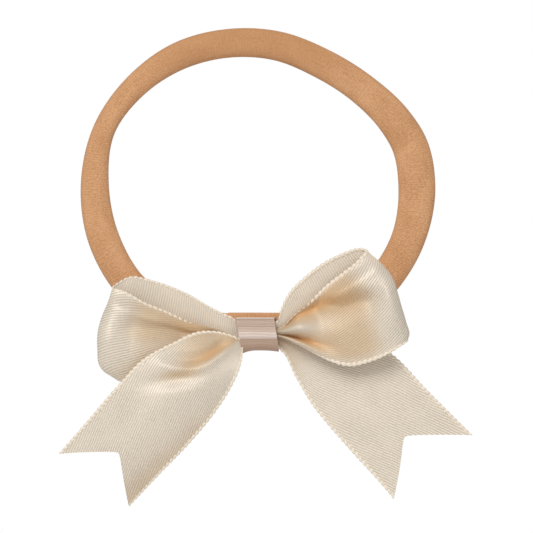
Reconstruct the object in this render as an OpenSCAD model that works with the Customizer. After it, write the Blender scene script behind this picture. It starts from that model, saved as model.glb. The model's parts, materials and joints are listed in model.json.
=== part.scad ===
// Baby headband: a soft nylon band sewn into a loop, with a satin ribbon bow on the join.
// Millimetres. The loop stands in the XZ plane with its middle at the origin, the bow hangs
// at the bottom and faces -Y, and +Z is up.

/* [Band] */
// Width of the loop, between the middles of its two sides
loop_w = 80.5; // [64:0.5:100]
// Height of the loop, from the middle of the band at the bottom to the middle at the top
loop_h = 72; // [58:0.5:90]
// Width of the flattened band
band_w = 9; // [7:0.25:11]
// Thickness of the flattened band
band_t = 4; // [3:0.1:5]
// Length of the lapped and sewn join behind the bow
join_l = 18.6; // [15:0.2:24]
// Length of each band end that isn't lapped, at the two ends of the join
lap_step = 2; // [1:0.25:3]

/* [Ribbon] */
// Width of the bow's satin ribbon
ribbon_w = 25; // [20:0.5:31]
// Thickness of the satin ribbon
ribbon_t = 0.4; // [0.3:0.05:0.5]
// Air between two ribbons that lie on each other
ribbon_gap = 0.4; // [0.35:0.05:0.6]

/* [Bow] */
// Length of the left loop, from the centre wrap to its fold
left_loop_l = 34.5; // [28:0.5:42]
// Length of the right loop, from the centre wrap to its fold
right_loop_l = 33; // [27:0.5:40]
// How far a loop stands open, from its back panel to its front
loop_depth = 9; // [7:0.25:11]
// Length of each tail, from the middle of the knot to its points
tail_l = 53; // [44:0.5:64]
// Depth of the notch in a tail's end
notch_l = 10; // [7:0.5:12]
// Height of the bow's middle above (+) or below (-) the middle of the band
knot_drop = -0.75; // [-1.5:0.25:0]

/* [Centre wrap] */
// Width of the narrow ribbon round the bow's middle
wrap_w = 10; // [8:0.25:12]
// Height of the wrapped middle
wrap_h = 7.6; // [6.4:0.1:9.2]
// Thickness of the narrow ribbon
wrap_t = 0.45; // [0.35:0.05:0.55]
// Rounding of the wrap over the pleats
wrap_r = 1.4; // [1:0.1:1.7]
// Diameter of the thread that binds the pleats
thread_d = 0.3; // [0.2:0.05:0.4]
// Number of turns of that thread
thread_turns = 4; // [2:1:6]
// Thickness of the glue between the bow and the band
glue_t = 0.4; // [0.3:0.05:0.6]

/* [Tails] */
// Direction of the left tail, in degrees below the horizontal
left_tail_dip = 52.5; // [45:0.5:60]
// Direction of the right tail, in degrees below the horizontal
right_tail_dip = 50; // [45:0.5:60]
// How far below its loop a tail bends
bend_clear = 0.5; // [0.3:0.1:3]
// How far the left tail leans back below its bend, in degrees
left_tail_lean = 12; // [0:1:20]
// Gap in the ribbon at a tail's bend
bend_gap = 0.6; // [0.5:0.05:1]

/* [Hidden] */

NYLON = [0.83, 0.63, 0.47];
SATIN = [0.94, 0.88, 0.79];
NARROW_SATIN = [0.86, 0.77, 0.69];
THREAD = [0.95, 0.92, 0.86];
GLUE = [0.9, 0.88, 0.8, 0.7];

$fn = 32;
turn_gap = 0.3;     // between the band and the join, which turns with the bow
turn_clear = 1.0;   // between the turning bow and the band's edge
reach = 200;        // longer than anything that it cuts
steps = 4;          // spline steps between two points of an outline

// The band's route anticlockwise from the right end of the join, as shares of half the loop's
// width and height, with the band's width there as a share of band_w.
BAND_ROUTE = [
    [0.49, -0.92, 0.96], [0.72, -0.73, 0.92], [0.93, -0.38, 0.94], [0.99, 0.02, 1.03],
    [0.945, 0.29, 1.00], [0.845, 0.47, 0.95], [0.66, 0.67, 0.88], [0.40, 0.855, 0.85],
    [0.13, 0.975, 0.82], [-0.18, 0.995, 0.80], [-0.48, 0.91, 0.78], [-0.75, 0.705, 0.68],
    [-0.95, 0.40, 0.62], [-1.01, 0.02, 0.78], [-0.955, -0.36, 0.88], [-0.77, -0.71, 0.88],
    [-0.50, -0.915, 0.94]];
band_sides = 12;
band_soft = 0.75;   // under 1 squares the band's oval section off a little

// Outlines of the two loops seen from the front: shares of the loop's length from the wrap,
// and of the ribbon's width above the middle of the knot.
RIGHT_LOOP = [
    [0.03, 0.20], [0.18, 0.50], [0.35, 0.69], [0.52, 0.80], [0.66, 0.87], [0.80, 0.71],
    [0.89, 0.54], [0.95, 0.25], [0.99, -0.02], [0.97, -0.09], [0.87, -0.18], [0.72, -0.27],
    [0.54, -0.31], [0.38, -0.26], [0.21, -0.17], [0.03, -0.06]];
LEFT_LOOP = [
    [0.03, 0.17], [0.23, 0.33], [0.40, 0.44], [0.57, 0.53], [0.75, 0.59], [0.86, 0.52],
    [0.94, 0.30], [1.00, 0.00], [1.00, -0.22], [0.96, -0.36], [0.86, -0.45], [0.64, -0.48],
    [0.38, -0.38], [0.17, -0.22], [0.03, -0.08]];
// A loop seen from above: shares of its length, and of its depth in front of its back panel.
LOOP_PLAN = [
    [0, 0.16], [0.08, 0.42], [0.20, 0.72], [0.40, 0.97], [0.62, 1.00], [0.84, 0.86],
    [0.97, 0.58], [1.00, 0.38], [0.95, 0.17], [0.82, 0.05], [0.60, 0], [0.30, 0], [0, 0]];
// The left tail passes in front of the left loop, and then runs straight on.
LEFT_TAIL_PLAN = [
    [0, 0.16], [0.08, 0.42], [0.20, 0.72], [0.38, 0.98], [0.55, 1.0], [1.1, 1.0]];

// The two tails above their bends: the lower edge from the knot, then the upper edge back to it.
// Each point is a place along the tail and a place across it, in shares of ribbon_w.
RIGHT_ROOT_LOW = [[0.10, 0.10], [0.31, 0.08], [0.67, 0]];
RIGHT_ROOT_HIGH = [[0.70, 0.84], [0.32, 0.51], [0.07, 0.18]];
LEFT_ROOT_LOW = [[0.12, 0.03], [0.25, 0.01], [0.52, -0.10], [0.86, -0.14]];
LEFT_ROOT_HIGH = [[0.78, 0.75], [0.53, 0.66], [0.26, 0.50], [0.13, 0.25], [0.05, 0.10]];
// Across the tails, in shares of ribbon_w: both edges at the bend, the notch and both points.
RIGHT_END = [[0.03, 0.95], 0.42, [0, 1.0]];
LEFT_END = [[-0.14, 0.78], 0.37, [-0.04, 0.85]];

// How far a loop reaches in the direction of its tail
function loop_reach(front, l, dip) = max([for (q = through(scaled(front, l, ribbon_w), 2))
    (wrap_x + q[0]) * cos(dip) - q[1] * sin(dip)]);

band_z = -loop_h / 2;
knot_z = band_z + knot_drop;
wrap_x = wrap_w / 2;
join_x = join_l / 2;
left_bend_l = loop_reach(LEFT_LOOP, left_loop_l, left_tail_dip) + bend_clear;
right_bend_l = loop_reach(RIGHT_LOOP, right_loop_l, right_tail_dip) + bend_clear;
// Depths in front of the middle of the band, from the rearmost ribbon to the front one
rear_y = band_w / 2 + turn_clear;
back_panel_y = rear_y + ribbon_t + ribbon_gap;
left_tail_y = back_panel_y + loop_depth + ribbon_t + ribbon_gap;
knot_front_y = back_panel_y + LOOP_PLAN[0][1] * loop_depth + ribbon_t + ribbon_gap;
wrap_back_y = band_t / 2 + glue_t;
wrap_front_y = knot_front_y + thread_d + wrap_t;
wrap_d = wrap_front_y - wrap_back_y - wrap_t;
wrap_mid_y = (wrap_front_y + wrap_back_y + wrap_t) / 2;

function lerp(a, b, t) = a + (b - a) * t;
function curve(a, b, c, d, t) =
    (2 * b + (c - a) * t + (2 * a - 5 * b + 4 * c - d) * t * t
     + (3 * b - a - 3 * c + d) * t * t * t) / 2;
// A smooth line through the points of p, with steps between each two
function through(p, n = steps) =
    let (m = len(p) - 1)
    [for (i = [0:m - 1], k = [0:n - 1])
        curve(p[max(i - 1, 0)], p[i], p[i + 1], p[min(i + 2, m)], k / n), p[m]];
// The same, for a line with one more point beyond each end that only steers it
function between(p, n = steps) =
    [for (i = [1:len(p) - 3], k = [0:n - 1])
        curve(p[i - 1], p[i], p[i + 1], p[i + 2], k / n), p[len(p) - 2]];
function flip(p) = [for (i = [len(p) - 1:-1:0]) p[i]];
function unit(v) = v / norm(v);
function along(p, i) = unit(p[min(i + 1, len(p) - 1)] - p[max(i - 1, 0)]);
// The outline of a strip of thickness t on the left-hand side of the line p
function strip(p, t) = concat(p, flip([for (i = [0:len(p) - 1])
    let (d = along(p, i)) p[i] + t * [-d[1], d[0]]]));
function scaled(p, sx, sy) = [for (q = p) [q[0] * sx, q[1] * sy]];
function soft(v) = sign(v) * pow(abs(v), band_soft);

// The band's oval: across the band, then through its thickness
function oval(w, t) = [for (k = [0:band_sides - 1]) let (a = 360 * k / band_sides)
    [soft(cos(a)) * w / 2, soft(sin(a)) * t / 2]];

// Joins rings of n points into one closed body
module rings(all, n) {
    last = len(all) - 1;
    sides = [for (i = [0:last - 1], k = [0:n - 1])
        [i * n + k, (i + 1) * n + k, (i + 1) * n + (k + 1) % n, i * n + (k + 1) % n]];
    ends = [[for (k = [0:n - 1]) k], [for (k = [n - 1:-1:0]) last * n + k]];
    polyhedron([for (r = all) each r], concat(sides, ends), convexity = 6);
}

// Runs a front outline, in x and z, through the whole depth
module through_depth() rotate([90, 0, 0]) linear_extrude(reach, center = true) children();
// Runs a plan, in x and depth, through the whole height
module through_height() linear_extrude(reach, center = true) mirror([0, 1]) children();
// Runs an end view, in depth and height, along x
module through_length(l) rotate([90, 0, -90]) linear_extrude(l, center = true) children();

module rounded(w, h, r) {
    square([w - 2 * r, h], center = true);
    square([w, h - 2 * r], center = true);
    for (x = [-1, 1], y = [-1, 1]) translate([x * (w / 2 - r), y * (h / 2 - r)]) circle(r);
}

// The nylon band, from one side of the join round to the other. It leaves the join level.
module band_loop() {
    route = [for (p = BAND_ROUTE) [p[0] * loop_w / 2, p[1] * loop_h / 2, p[2]]];
    first = route[0];
    final = route[len(route) - 1];
    x = join_x + turn_gap;
    line = between(concat([[2 * x - first[0], first[1], 1], [x, band_z, 1]], route,
        [[-x, band_z, 1], [-2 * x - final[0], final[1], 1]]));
    last = len(line) - 1;
    color(NYLON) rings([for (i = [0:last])
        let (c = line[i], d = (i == 0 || i == last) ? [1, 0] : along(line, i),
             out = unit([d[1], -d[0]]))
        [for (q = oval(band_w * c[2], band_t * lerp(1.5, 1, c[2])))
            [c[0] + out[0] * q[0], q[1], c[1] + out[1] * q[0]]]], band_sides);
}

// One end of the band, pressed to half its thickness: side -1 is the front one
module lap(side) {
    half = [for (q = oval(band_w, band_t)) if (q[1] * side >= -0.001) [q[1] * side, q[0]]];
    translate([side * lap_step / 2, 0, band_z])
        mirror([0, side < 0 ? 1 : 0, 0])
            rotate([90, 0, 90]) linear_extrude(join_l - lap_step, center = true) polygon(half);
}

// The band's two ends, lapped behind the bow
module band_join() color(NYLON) {
    lap(-1);
    lap(1);
}

// Zigzag of thread through the lap, seen on the back of the band
module join_stitches() {
    rows = 7;
    pitch = (join_l - 2 * lap_step - 4) / rows;
    rise = band_w * 0.5;
    tilt = atan2(rise, pitch);
    color(THREAD) for (i = [0:rows - 1])
        translate([(i - (rows - 1) / 2) * pitch, band_t / 2 - thread_d * 0.25, band_z])
            rotate([0, (i % 2 == 0 ? 1 : -1) * (90 - tilt), 0])
                cylinder(d = thread_d, h = norm([rise, pitch]) - thread_d, center = true);
}

// Glue between the back of the wrap and the band
module glue_pad() color(GLUE) difference() {
    translate([0, -wrap_back_y / 2, knot_z])
        rotate([90, 0, 0]) linear_extrude(wrap_back_y, center = true)
            rounded(wrap_w * 0.8, wrap_h * 0.75, 1.2);
    translate([0, 0, band_z])
        rotate([90, 0, 90]) linear_extrude(reach, center = true) polygon(
            [for (q = oval(band_w, band_t)) [q[1], q[0]]]);
}

// The narrow ribbon: a sleeve round the pleats, and its end lapped over at the back
module centre_wrap() color(NARROW_SATIN) {
    translate([0, -wrap_mid_y, knot_z]) rotate([90, 0, 90]) linear_extrude(wrap_w, center = true)
        difference() {
            rounded(wrap_d, wrap_h, wrap_r);
            rounded(wrap_d - 2 * wrap_t, wrap_h - 2 * wrap_t, wrap_r - wrap_t);
        }
    translate([0, -wrap_back_y - wrap_t * 0.55, knot_z - wrap_h * 0.1])
        cube([wrap_w, wrap_t * 1.1, wrap_h * 0.5], center = true);
}

// A dab of glue that closes the end of the narrow ribbon
module wrap_glue() color(GLUE)
    translate([0, -wrap_back_y - wrap_t / 2, knot_z + wrap_h * 0.15])
        rotate([90, 0, 0]) linear_extrude(wrap_t, center = true) translate([0, wrap_h * 0.075])
            square([wrap_w * 0.6, wrap_h * 0.15], center = true);

// One turn of the binding thread: four straight runs and four round corners
module thread_turn(w, h, r) {
    for (s = [-1, 1]) {
        translate([0, s * w / 2, 0]) cylinder(d = thread_d, h = h - 2 * r, center = true);
        translate([0, 0, s * h / 2])
            rotate([90, 0, 0]) cylinder(d = thread_d, h = w - 2 * r, center = true);
        for (k = [-1, 1]) translate([0, s * (w / 2 - r), k * (h / 2 - r)])
            rotate([0, 90, 0]) rotate([0, 0, k > 0 ? (s > 0 ? 90 : 180) : (s > 0 ? 0 : 270)])
                rotate_extrude(angle = 90) translate([r, 0]) circle(d = thread_d);
    }
}

module binding_thread() {
    pitch = wrap_w * 0.1;
    color(THREAD) for (i = [0:thread_turns - 1])
        translate([(i - (thread_turns - 1) / 2) * pitch, -wrap_mid_y, knot_z])
            thread_turn(wrap_d - 2 * wrap_t - thread_d, wrap_h - 2 * wrap_t - thread_d, 0.8);
}

// The middle of the wide ribbon: three passes, each folded into the same zigzag of pleats
module gather() {
    passes = 3;
    folds = 4;
    high = wrap_h - 2 * (wrap_t + thread_d);
    deep = wrap_d - 2 * (wrap_t + thread_d);
    fold_d = deep * 0.4;
    pitch = (deep - fold_d - ribbon_t) / (passes - 1);
    zigzag = [for (i = [0:folds])
        [(i == 0 || i == folds ? 0.5 : i % 2) * fold_d, (i / folds - 0.5) * high]];
    pass = concat(zigzag, flip([for (q = zigzag) q + [ribbon_t, 0]]));
    color(SATIN) for (i = [0:passes - 1])
        translate([0, -wrap_mid_y - deep / 2 + i * pitch, knot_z])
            rotate([90, 0, 90]) linear_extrude(wrap_w, center = true) polygon(pass);
}

// One loop of the bow: a strip bent as its plan says, cut to its front outline
module loop(side, front, l) color(SATIN)
    intersection() {
        mirror([side < 0 ? 1 : 0, 0, 0]) translate([wrap_x, -back_panel_y, 0])
            through_height() polygon(strip(through(scaled(LOOP_PLAN, l, loop_depth)), -ribbon_t));
        mirror([side < 0 ? 1 : 0, 0, 0]) translate([wrap_x, 0, knot_z])
            through_depth() polygon(concat([[-1, front[0][1] * ribbon_w]],
                through(scaled(front, l, ribbon_w), 2), [[-1, front[len(front) - 1][1] * ribbon_w]]));
    }

module left_loop() loop(-1, LEFT_LOOP, left_loop_l);
module right_loop() loop(1, RIGHT_LOOP, right_loop_l);

// Turns an outline given along and across a tail into the front view, from the knot's middle
module on_tail(side, dip) translate([0, 0, knot_z])
    mirror([side < 0 ? 1 : 0, 0, 0]) through_depth() rotate(-dip) children();

// The part of a tail between the knot and its bend, seen from the front
module root_outline(low, high, bend, edges) {
    end = bend - bend_gap / 2;
    polygon(concat(scaled(low, bend, ribbon_w), [[end, edges[0] * ribbon_w]],
        [[end, edges[1] * ribbon_w]], scaled(high, bend, ribbon_w)));
}

// The part of a tail below its bend, seen from the front, with its swallowtail end
module tail_outline(bend, across) {
    start = bend + bend_gap / 2;
    polygon([[start, across[0][0] * ribbon_w], [tail_l, across[2][0] * ribbon_w],
        [tail_l - notch_l, across[1] * ribbon_w], [tail_l, across[2][1] * ribbon_w],
        [start, across[0][1] * ribbon_w]]);
}

// A slab that lies between two depths in front of the band, outside the centre wrap
module slab(y, side) translate([side * (reach / 2 + wrap_x), -y - ribbon_t / 2, 0])
    cube([reach, ribbon_t, reach * 2], center = true);

module right_tail_root() color(SATIN) intersection() {
    slab(rear_y, 1);
    on_tail(1, right_tail_dip)
        root_outline(RIGHT_ROOT_LOW, RIGHT_ROOT_HIGH, right_bend_l, RIGHT_END[0]);
}

module right_tail() color(SATIN) intersection() {
    slab(rear_y, 1);
    on_tail(1, right_tail_dip) tail_outline(right_bend_l, RIGHT_END);
}

module left_tail_root() color(SATIN) intersection() {
    mirror([1, 0, 0]) translate([wrap_x, -back_panel_y - ribbon_gap - ribbon_t, 0])
        through_height() polygon(
            strip(through(scaled(LEFT_TAIL_PLAN, left_loop_l, loop_depth)), -ribbon_t));
    on_tail(-1, left_tail_dip)
        root_outline(LEFT_ROOT_LOW, LEFT_ROOT_HIGH, left_bend_l, LEFT_END[0]);
}

// The left tail starts at the front and leans back about its bend
module left_tail() {
    middle_y = left_tail_y - ribbon_t / 2;
    color(SATIN) translate([0, 0, knot_z]) mirror([1, 0, 0]) rotate([0, left_tail_dip, 0])
        translate([left_bend_l, -middle_y, 0]) rotate([0, 0, left_tail_lean])
            translate([-left_bend_l, 0, 0]) rotate([90, 0, 0])
                linear_extrude(ribbon_t, center = true) tail_outline(left_bend_l, LEFT_END);
}

band_loop();
band_join();
join_stitches();
glue_pad();
centre_wrap();
wrap_glue();
binding_thread();
gather();
left_loop();
right_loop();
left_tail_root();
right_tail_root();
left_tail();
right_tail();
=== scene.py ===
# %% [markdown]
# # A satin bow on a soft nylon headband
#
# The real thing is sewn and tied from three lengths of cloth: a stretch nylon band joined into a
# loop, a wide satin ribbon pleated into two loops and two tails, and a narrow satin ribbon that
# wraps the pleats. We build each length of cloth as a thin closed sheet with its own weave.
#
# A packed CAD model gives us the frame: which pieces there are, where they sit and how they turn.
# We load it first and keep its box, because the finished model may not outgrow it.

# %% The frame
import json
import math

import bpy
import numpy as np
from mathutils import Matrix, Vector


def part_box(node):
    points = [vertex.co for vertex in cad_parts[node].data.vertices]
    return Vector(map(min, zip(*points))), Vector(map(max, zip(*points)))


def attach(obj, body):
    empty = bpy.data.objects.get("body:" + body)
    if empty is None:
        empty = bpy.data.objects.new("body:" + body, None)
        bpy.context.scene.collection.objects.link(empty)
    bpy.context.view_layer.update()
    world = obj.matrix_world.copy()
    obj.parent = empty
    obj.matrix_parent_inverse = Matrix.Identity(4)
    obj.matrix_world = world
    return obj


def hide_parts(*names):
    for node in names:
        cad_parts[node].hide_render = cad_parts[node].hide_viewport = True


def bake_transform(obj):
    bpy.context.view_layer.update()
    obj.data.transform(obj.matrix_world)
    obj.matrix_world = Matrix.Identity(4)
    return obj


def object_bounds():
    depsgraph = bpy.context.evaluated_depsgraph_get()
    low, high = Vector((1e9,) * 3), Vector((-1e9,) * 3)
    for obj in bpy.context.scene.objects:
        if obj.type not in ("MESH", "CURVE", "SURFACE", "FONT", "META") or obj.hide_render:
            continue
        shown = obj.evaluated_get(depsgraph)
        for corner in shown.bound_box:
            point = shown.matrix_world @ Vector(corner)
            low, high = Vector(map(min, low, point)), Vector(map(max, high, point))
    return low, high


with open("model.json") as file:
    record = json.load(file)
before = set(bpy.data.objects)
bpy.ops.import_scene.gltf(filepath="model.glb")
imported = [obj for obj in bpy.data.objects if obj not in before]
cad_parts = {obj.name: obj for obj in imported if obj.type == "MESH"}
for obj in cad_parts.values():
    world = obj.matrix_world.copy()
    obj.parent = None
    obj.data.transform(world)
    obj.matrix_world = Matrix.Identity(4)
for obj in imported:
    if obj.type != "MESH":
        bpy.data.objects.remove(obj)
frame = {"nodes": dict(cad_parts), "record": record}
cad_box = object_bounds()
MM = 0.001
print("nodes:", sorted(frame["nodes"]))
print("size of the CAD box, mm:", [round((b - a) / MM, 1) for a, b in zip(*cad_box)])

# %% [markdown]
# ## The camera
#
# A small thing looks right from some way off through a long lens; a short lens close by would
# swell the bow. The camera looks straight along +Y, at the middle of what it has to show.

# %% Camera
VIEW_WIDTH = 133.25  # how much the camera sees, in mm, at the band's middle plane
CAMERA_AWAY = 900.0
SENSOR = 36.0
VIEW_MIDDLE = (2.275, -19.975)  # x and z, in mm

camera_data = bpy.data.cameras.new("camera")
camera_data.sensor_width = SENSOR
camera_data.lens = SENSOR * CAMERA_AWAY / VIEW_WIDTH
camera = bpy.data.objects.new("camera", camera_data)
camera.location = (VIEW_MIDDLE[0] * MM, -CAMERA_AWAY * MM, VIEW_MIDDLE[1] * MM)
camera.rotation_euler = (math.radians(90), 0, 0)
bpy.context.collection.objects.link(camera)
bpy.context.scene.camera = camera
print("lens, mm:", round(camera_data.lens, 1))

# %% [markdown]
# ## Light and floor
#
# Satin shows its folds only when the light comes from large soft sources and a little more from
# one side. A big key light stands up and to the left, a weaker one fills from the right, and the
# surroundings give the rest. The surroundings look plain white to the camera but light the cloth
# more gently, which the Light Path node makes possible. A pale floor lies below the bow's tails.

# %% Surroundings
scene = bpy.context.scene
scene.view_settings.view_transform = "Standard"
world = bpy.data.worlds.new("studio")
scene.world = world
world.use_nodes = True
tree = world.node_tree
tree.nodes.clear()
SURROUND_LIGHT = 0.40
seen = tree.nodes.new("ShaderNodeBackground")
seen.inputs["Color"].default_value = (1, 1, 1, 1)
lit = tree.nodes.new("ShaderNodeBackground")
lit.inputs["Color"].default_value = (0.98, 0.99, 1, 1)
lit.inputs["Strength"].default_value = SURROUND_LIGHT
path = tree.nodes.new("ShaderNodeLightPath")
mix = tree.nodes.new("ShaderNodeMixShader")
out = tree.nodes.new("ShaderNodeOutputWorld")
tree.links.new(path.outputs["Is Camera Ray"], mix.inputs["Fac"])
tree.links.new(lit.outputs[0], mix.inputs[1])
tree.links.new(seen.outputs[0], mix.inputs[2])
tree.links.new(mix.outputs[0], out.inputs["Surface"])
print("light from all round:", SURROUND_LIGHT)


# %% Lamps and floor
def lamp(name, place, size, power, aim=(0, 0, -0.03)):
    """A square soft light at a place, turned towards aim; metres and watts."""
    data = bpy.data.lights.new(name, "AREA")
    data.size = size
    data.energy = power
    made = bpy.data.objects.new(name, data)
    made.location = place
    away = np.array(place) - np.array(aim)
    flat = math.hypot(away[0], away[1])
    made.rotation_euler = (math.atan2(flat, away[2]), 0, math.atan2(away[0], -away[1]))
    bpy.context.collection.objects.link(made)
    return made


lamp("key", (-0.26, -0.72, 0.58), 0.50, 5.0)
lamp("fill", (0.6, -0.7, 0.1), 0.6, 0.5)
lamp("back", (0.1, 0.8, 0.5), 0.6, 2.5)

FLOOR_DROP = 36.0  # mm below the tails
FLOOR_RADIUS = 0.3
floor_z = cad_box[0][2] - FLOOR_DROP * MM
rim = [(FLOOR_RADIUS * math.cos(a), FLOOR_RADIUS * math.sin(a), floor_z)
       for a in np.linspace(0, 2 * math.pi, 96, endpoint=False)]
floor_mesh = bpy.data.meshes.new("floor")
floor_mesh.from_pydata(rim, [], [tuple(range(len(rim)))])
floor = bpy.data.objects.new("floor", floor_mesh)
bpy.context.collection.objects.link(floor)
print("floor at z, mm:", round(floor_z / MM, 1))

# %% [markdown]
# ## Sums with sockets
#
# A weave is a sum of waves, and sums read best as sums. This class wraps a node's output so that
# ordinary Python signs add Math nodes. `Finish.node` makes every other node: its type, then its
# settings, then what its sockets take.


# %% Value
class Value:
    """A number that changes over the surface, with Python's signs as Math nodes."""

    def __init__(self, finish, socket):
        self.finish, self.socket = finish, socket

    def math(self, operation, *others, first=None):
        parts = [self if first is None else first, *others]
        settings = {"operation": operation}
        return self.finish.node("Math", settings, dict(enumerate(parts)))

    def __add__(self, other):
        return self.math("ADD", other)

    def __sub__(self, other):
        return self.math("SUBTRACT", other)

    def __rsub__(self, other):
        return self.math("SUBTRACT", self, first=other)

    def __mul__(self, other):
        return self.math("MULTIPLY", other)

    def __truediv__(self, other):
        return self.math("DIVIDE", other)

    __radd__, __rmul__ = __add__, __mul__

    def wave(self):
        """From 0 to 1 and back for each whole step of the value."""
        return self.__mul__(2 * math.pi).math("SINE") * 0.5 + 0.5

    def between(self, low, high):
        """0 below low, 1 above high and smooth in between."""
        settings = {"interpolation_type": "SMOOTHSTEP"}
        sockets = {"Value": self, "From Min": low, "From Max": high}
        return self.finish.node("MapRange", settings, sockets)


print("signs that work on a Value:", "+ - * /")


# %% Finish
class Finish:
    """A material in the making."""

    def __init__(self, name):
        self.material = bpy.data.materials.new(name)
        self.material.use_nodes = True
        self.tree = self.material.node_tree
        self.shader = self.tree.nodes["Principled BSDF"]

    def node(self, kind, settings=None, sockets=None, out=0):
        """A node of one kind: its settings, then its sockets; gives the output called out."""
        made = self.tree.nodes.new("ShaderNode" + kind)
        for key, value in (settings or {}).items():
            setattr(made, key, value)
        for key, value in (sockets or {}).items():
            self.feed(made.inputs[key], value)
        return Value(self, made.outputs[out])

    def feed(self, socket, value):
        """Links a Value to a socket, or sets the socket to a plain number or colour."""
        if isinstance(value, Value):
            self.tree.links.new(value.socket, socket)
        else:
            socket.default_value = value

    def shade(self, **sockets):
        """Sets the shader's own sockets: Base_Color=..., Roughness=... and so on."""
        for key, value in sockets.items():
            self.feed(self.shader.inputs[key.replace("_", " ")], value)

    def blend(self, amount, first, second, kind="MIX"):
        """Mixes two colours; 6, 7 and 2 are the colour sockets of a Mix node."""
        settings = {"data_type": "RGBA", "blend_type": kind}
        return self.node("Mix", settings, {0: amount, 6: first, 7: second}, out=2)

    def cloth(self):
        """Where a point lies on the flat cloth: along and across in mm, and how much painted shade it
        gets.
        """
        place = self.node("Attribute", {"attribute_name": "cloth"}, out="Vector")
        return [self.node("SeparateXYZ", None, {0: place}, out=part) for part in "XYZ"]

    def cloth_noise(self, along, across, scale, detail=2.0):
        """Noise that lies on the flat cloth; scale both places apart to draw it out."""
        where = self.node("CombineXYZ", None, {0: along, 1: across, 2: 0.0})
        return self.node("TexNoise", None, {"Vector": where, "Scale": scale, "Detail": detail})


def paint(red, green, blue):
    """A screen colour, 0 to 1, as the linear colour that shaders take."""
    def linear(c):
        return c / 12.92 if c <= 0.04045 else ((c + 0.055) / 1.055) ** 2.4
    return (linear(red), linear(green), linear(blue), 1.0)


print("screen grey 0.5 as light:", round(paint(0.5, 0.5, 0.5)[0], 3))

# %% [markdown]
# ## Satin
#
# Satin is woven so that long threads lie on its face, and a fine twill runs slantwise across
# them. Light glances off it in a broad soft gloss. A picture of cloth wrapped on the mesh could
# show that, but it blurs close up and repeats. Instead the twill is a wave across slanted lines,
# a little over half a millimetre apart, that darkens the colour and lifts the surface; noise
# breaks it into short floats. The rear shows plain ribs straight across. Deep folds glow warmer,
# because light bounces in them from cloth to cloth, and they lie in shade: the sheets carry this
# as painted shade, tinted warm. The woven edge, or selvedge, is paler and less glossy.

# %% Satin
RIBBON, NARROW = 25.0, 10.0  # widths of the two ribbons, mm
TWILL_PITCH = 0.62
TWILL_ANGLE = 22.5
RIB_ANGLE = 88.0
SELVEDGE = 0.35  # width of the woven edge, mm


def lines(finish, along, across, wander, angle, pitch):
    """Slanted threads as a wave, broken into short floats of uneven strength."""
    c, s = math.cos(math.radians(angle)), math.sin(math.radians(angle))
    crossing = along * (s / pitch) - across * (c / pitch) + wander * 0.9
    following = along * c + across * s
    floats = finish.cloth_noise(following * 1.3, crossing, 1.0, 0.0)
    return crossing.wave() * (floats * 1.1 + 0.45)


def satin(name, colours, half_width, angle, shades):
    """Satin ribbon; half_width in mm finds the selvedge, angle slants the face's threads.

    The colours are the cloth's own, its painted shade in a fold and its painted shade in the deepest
    fold, both tinted warm. Shades says how dark the valleys between threads are.
    """
    colour, fold_shade, deep = colours
    finish = Finish(name)
    along, across, painted_shade = finish.cloth()
    reverse = finish.node("Attribute", {"attribute_name": "reverse"}, out="Fac")
    wander = finish.cloth_noise(along * 0.12, across * 0.2, 1.0, 2.0)
    face = lines(finish, along, across, wander, angle, TWILL_PITCH)
    ribs = lines(finish, along, across, wander, RIB_ANGLE, TWILL_PITCH)
    weave = face * (1 - reverse) + (ribs * 0.6 + 0.2) * reverse
    cloud = finish.cloth_noise(along * 0.1, across * 0.14, 1.0, 2.0)
    edge = across.math("ABSOLUTE").between(half_width - SELVEDGE, half_width - 0.1)
    depth = 0.75 - painted_shade.between(0.1, 0.6) * 0.3
    shade = ((weave - 0.5) * depth + cloud * 0.5 + 0.375) * (1 - edge) + edge
    dark = tuple(c * shades for c in colour[:3]) + (1,)
    body = finish.blend(shade.between(0.05, 1.0), dark, colour)
    # painted shade: the cloth's third number darkens folds and tints them warm, for shadow and
    # bounced light
    painted_fold_tint = finish.blend(painted_shade.between(0.0, 0.6), (1, 1, 1, 1), fold_shade)
    painted_fold_tint = finish.blend(painted_shade.between(0.5, 1.0), painted_fold_tint, deep)
    body = finish.blend(1.0, body, painted_fold_tint, "MULTIPLY")
    bumps = finish.node("Bump", None, {"Strength": 0.55, "Distance": 0.00008,
                                       "Height": weave * (1 - edge)})
    finish.shade(Base_Color=body, Roughness=0.47 + edge * 0.15 + reverse * 0.06, Normal=bumps,
                 Metallic=0.16 - edge * 0.1, Specular_IOR_Level=0.6, Sheen_Weight=0.1,
                 Sheen_Roughness=0.4)
    return finish.material


# Each satin's second and third colours are painted shade, tinted warm, for folds and the deepest
# folds.
wide_satin = satin("wide_satin", (paint(0.98, 0.925, 0.845), paint(0.93, 0.85, 0.75),
                                  paint(0.96, 0.78, 0.56)), RIBBON / 2, TWILL_ANGLE, 0.66)
narrow_satin = satin("narrow_satin", (paint(0.95, 0.88, 0.83), paint(0.84, 0.79, 0.75),
                                      paint(0.77, 0.68, 0.61)), NARROW / 2, 90.0, 0.80)
print("satin finishes:", wide_satin.name, narrow_satin.name)

# %% [markdown]
# ## Nylon
#
# The band is brushed nylon knit: matt, a little fuzzy at its rim, with a fine grain of stitches in
# rows. Real stitches or hairs would cost millions of faces for something hardly seen, so one wave
# along the band makes the rows and three sizes of noise break them up. Sheen gives the pale,
# pinkish rim that fuzz has against the light. The band's third number is painted shadow, not the
# satin's painted fold shade.

# %% Nylon
COURSE_PITCH = 0.62


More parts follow.
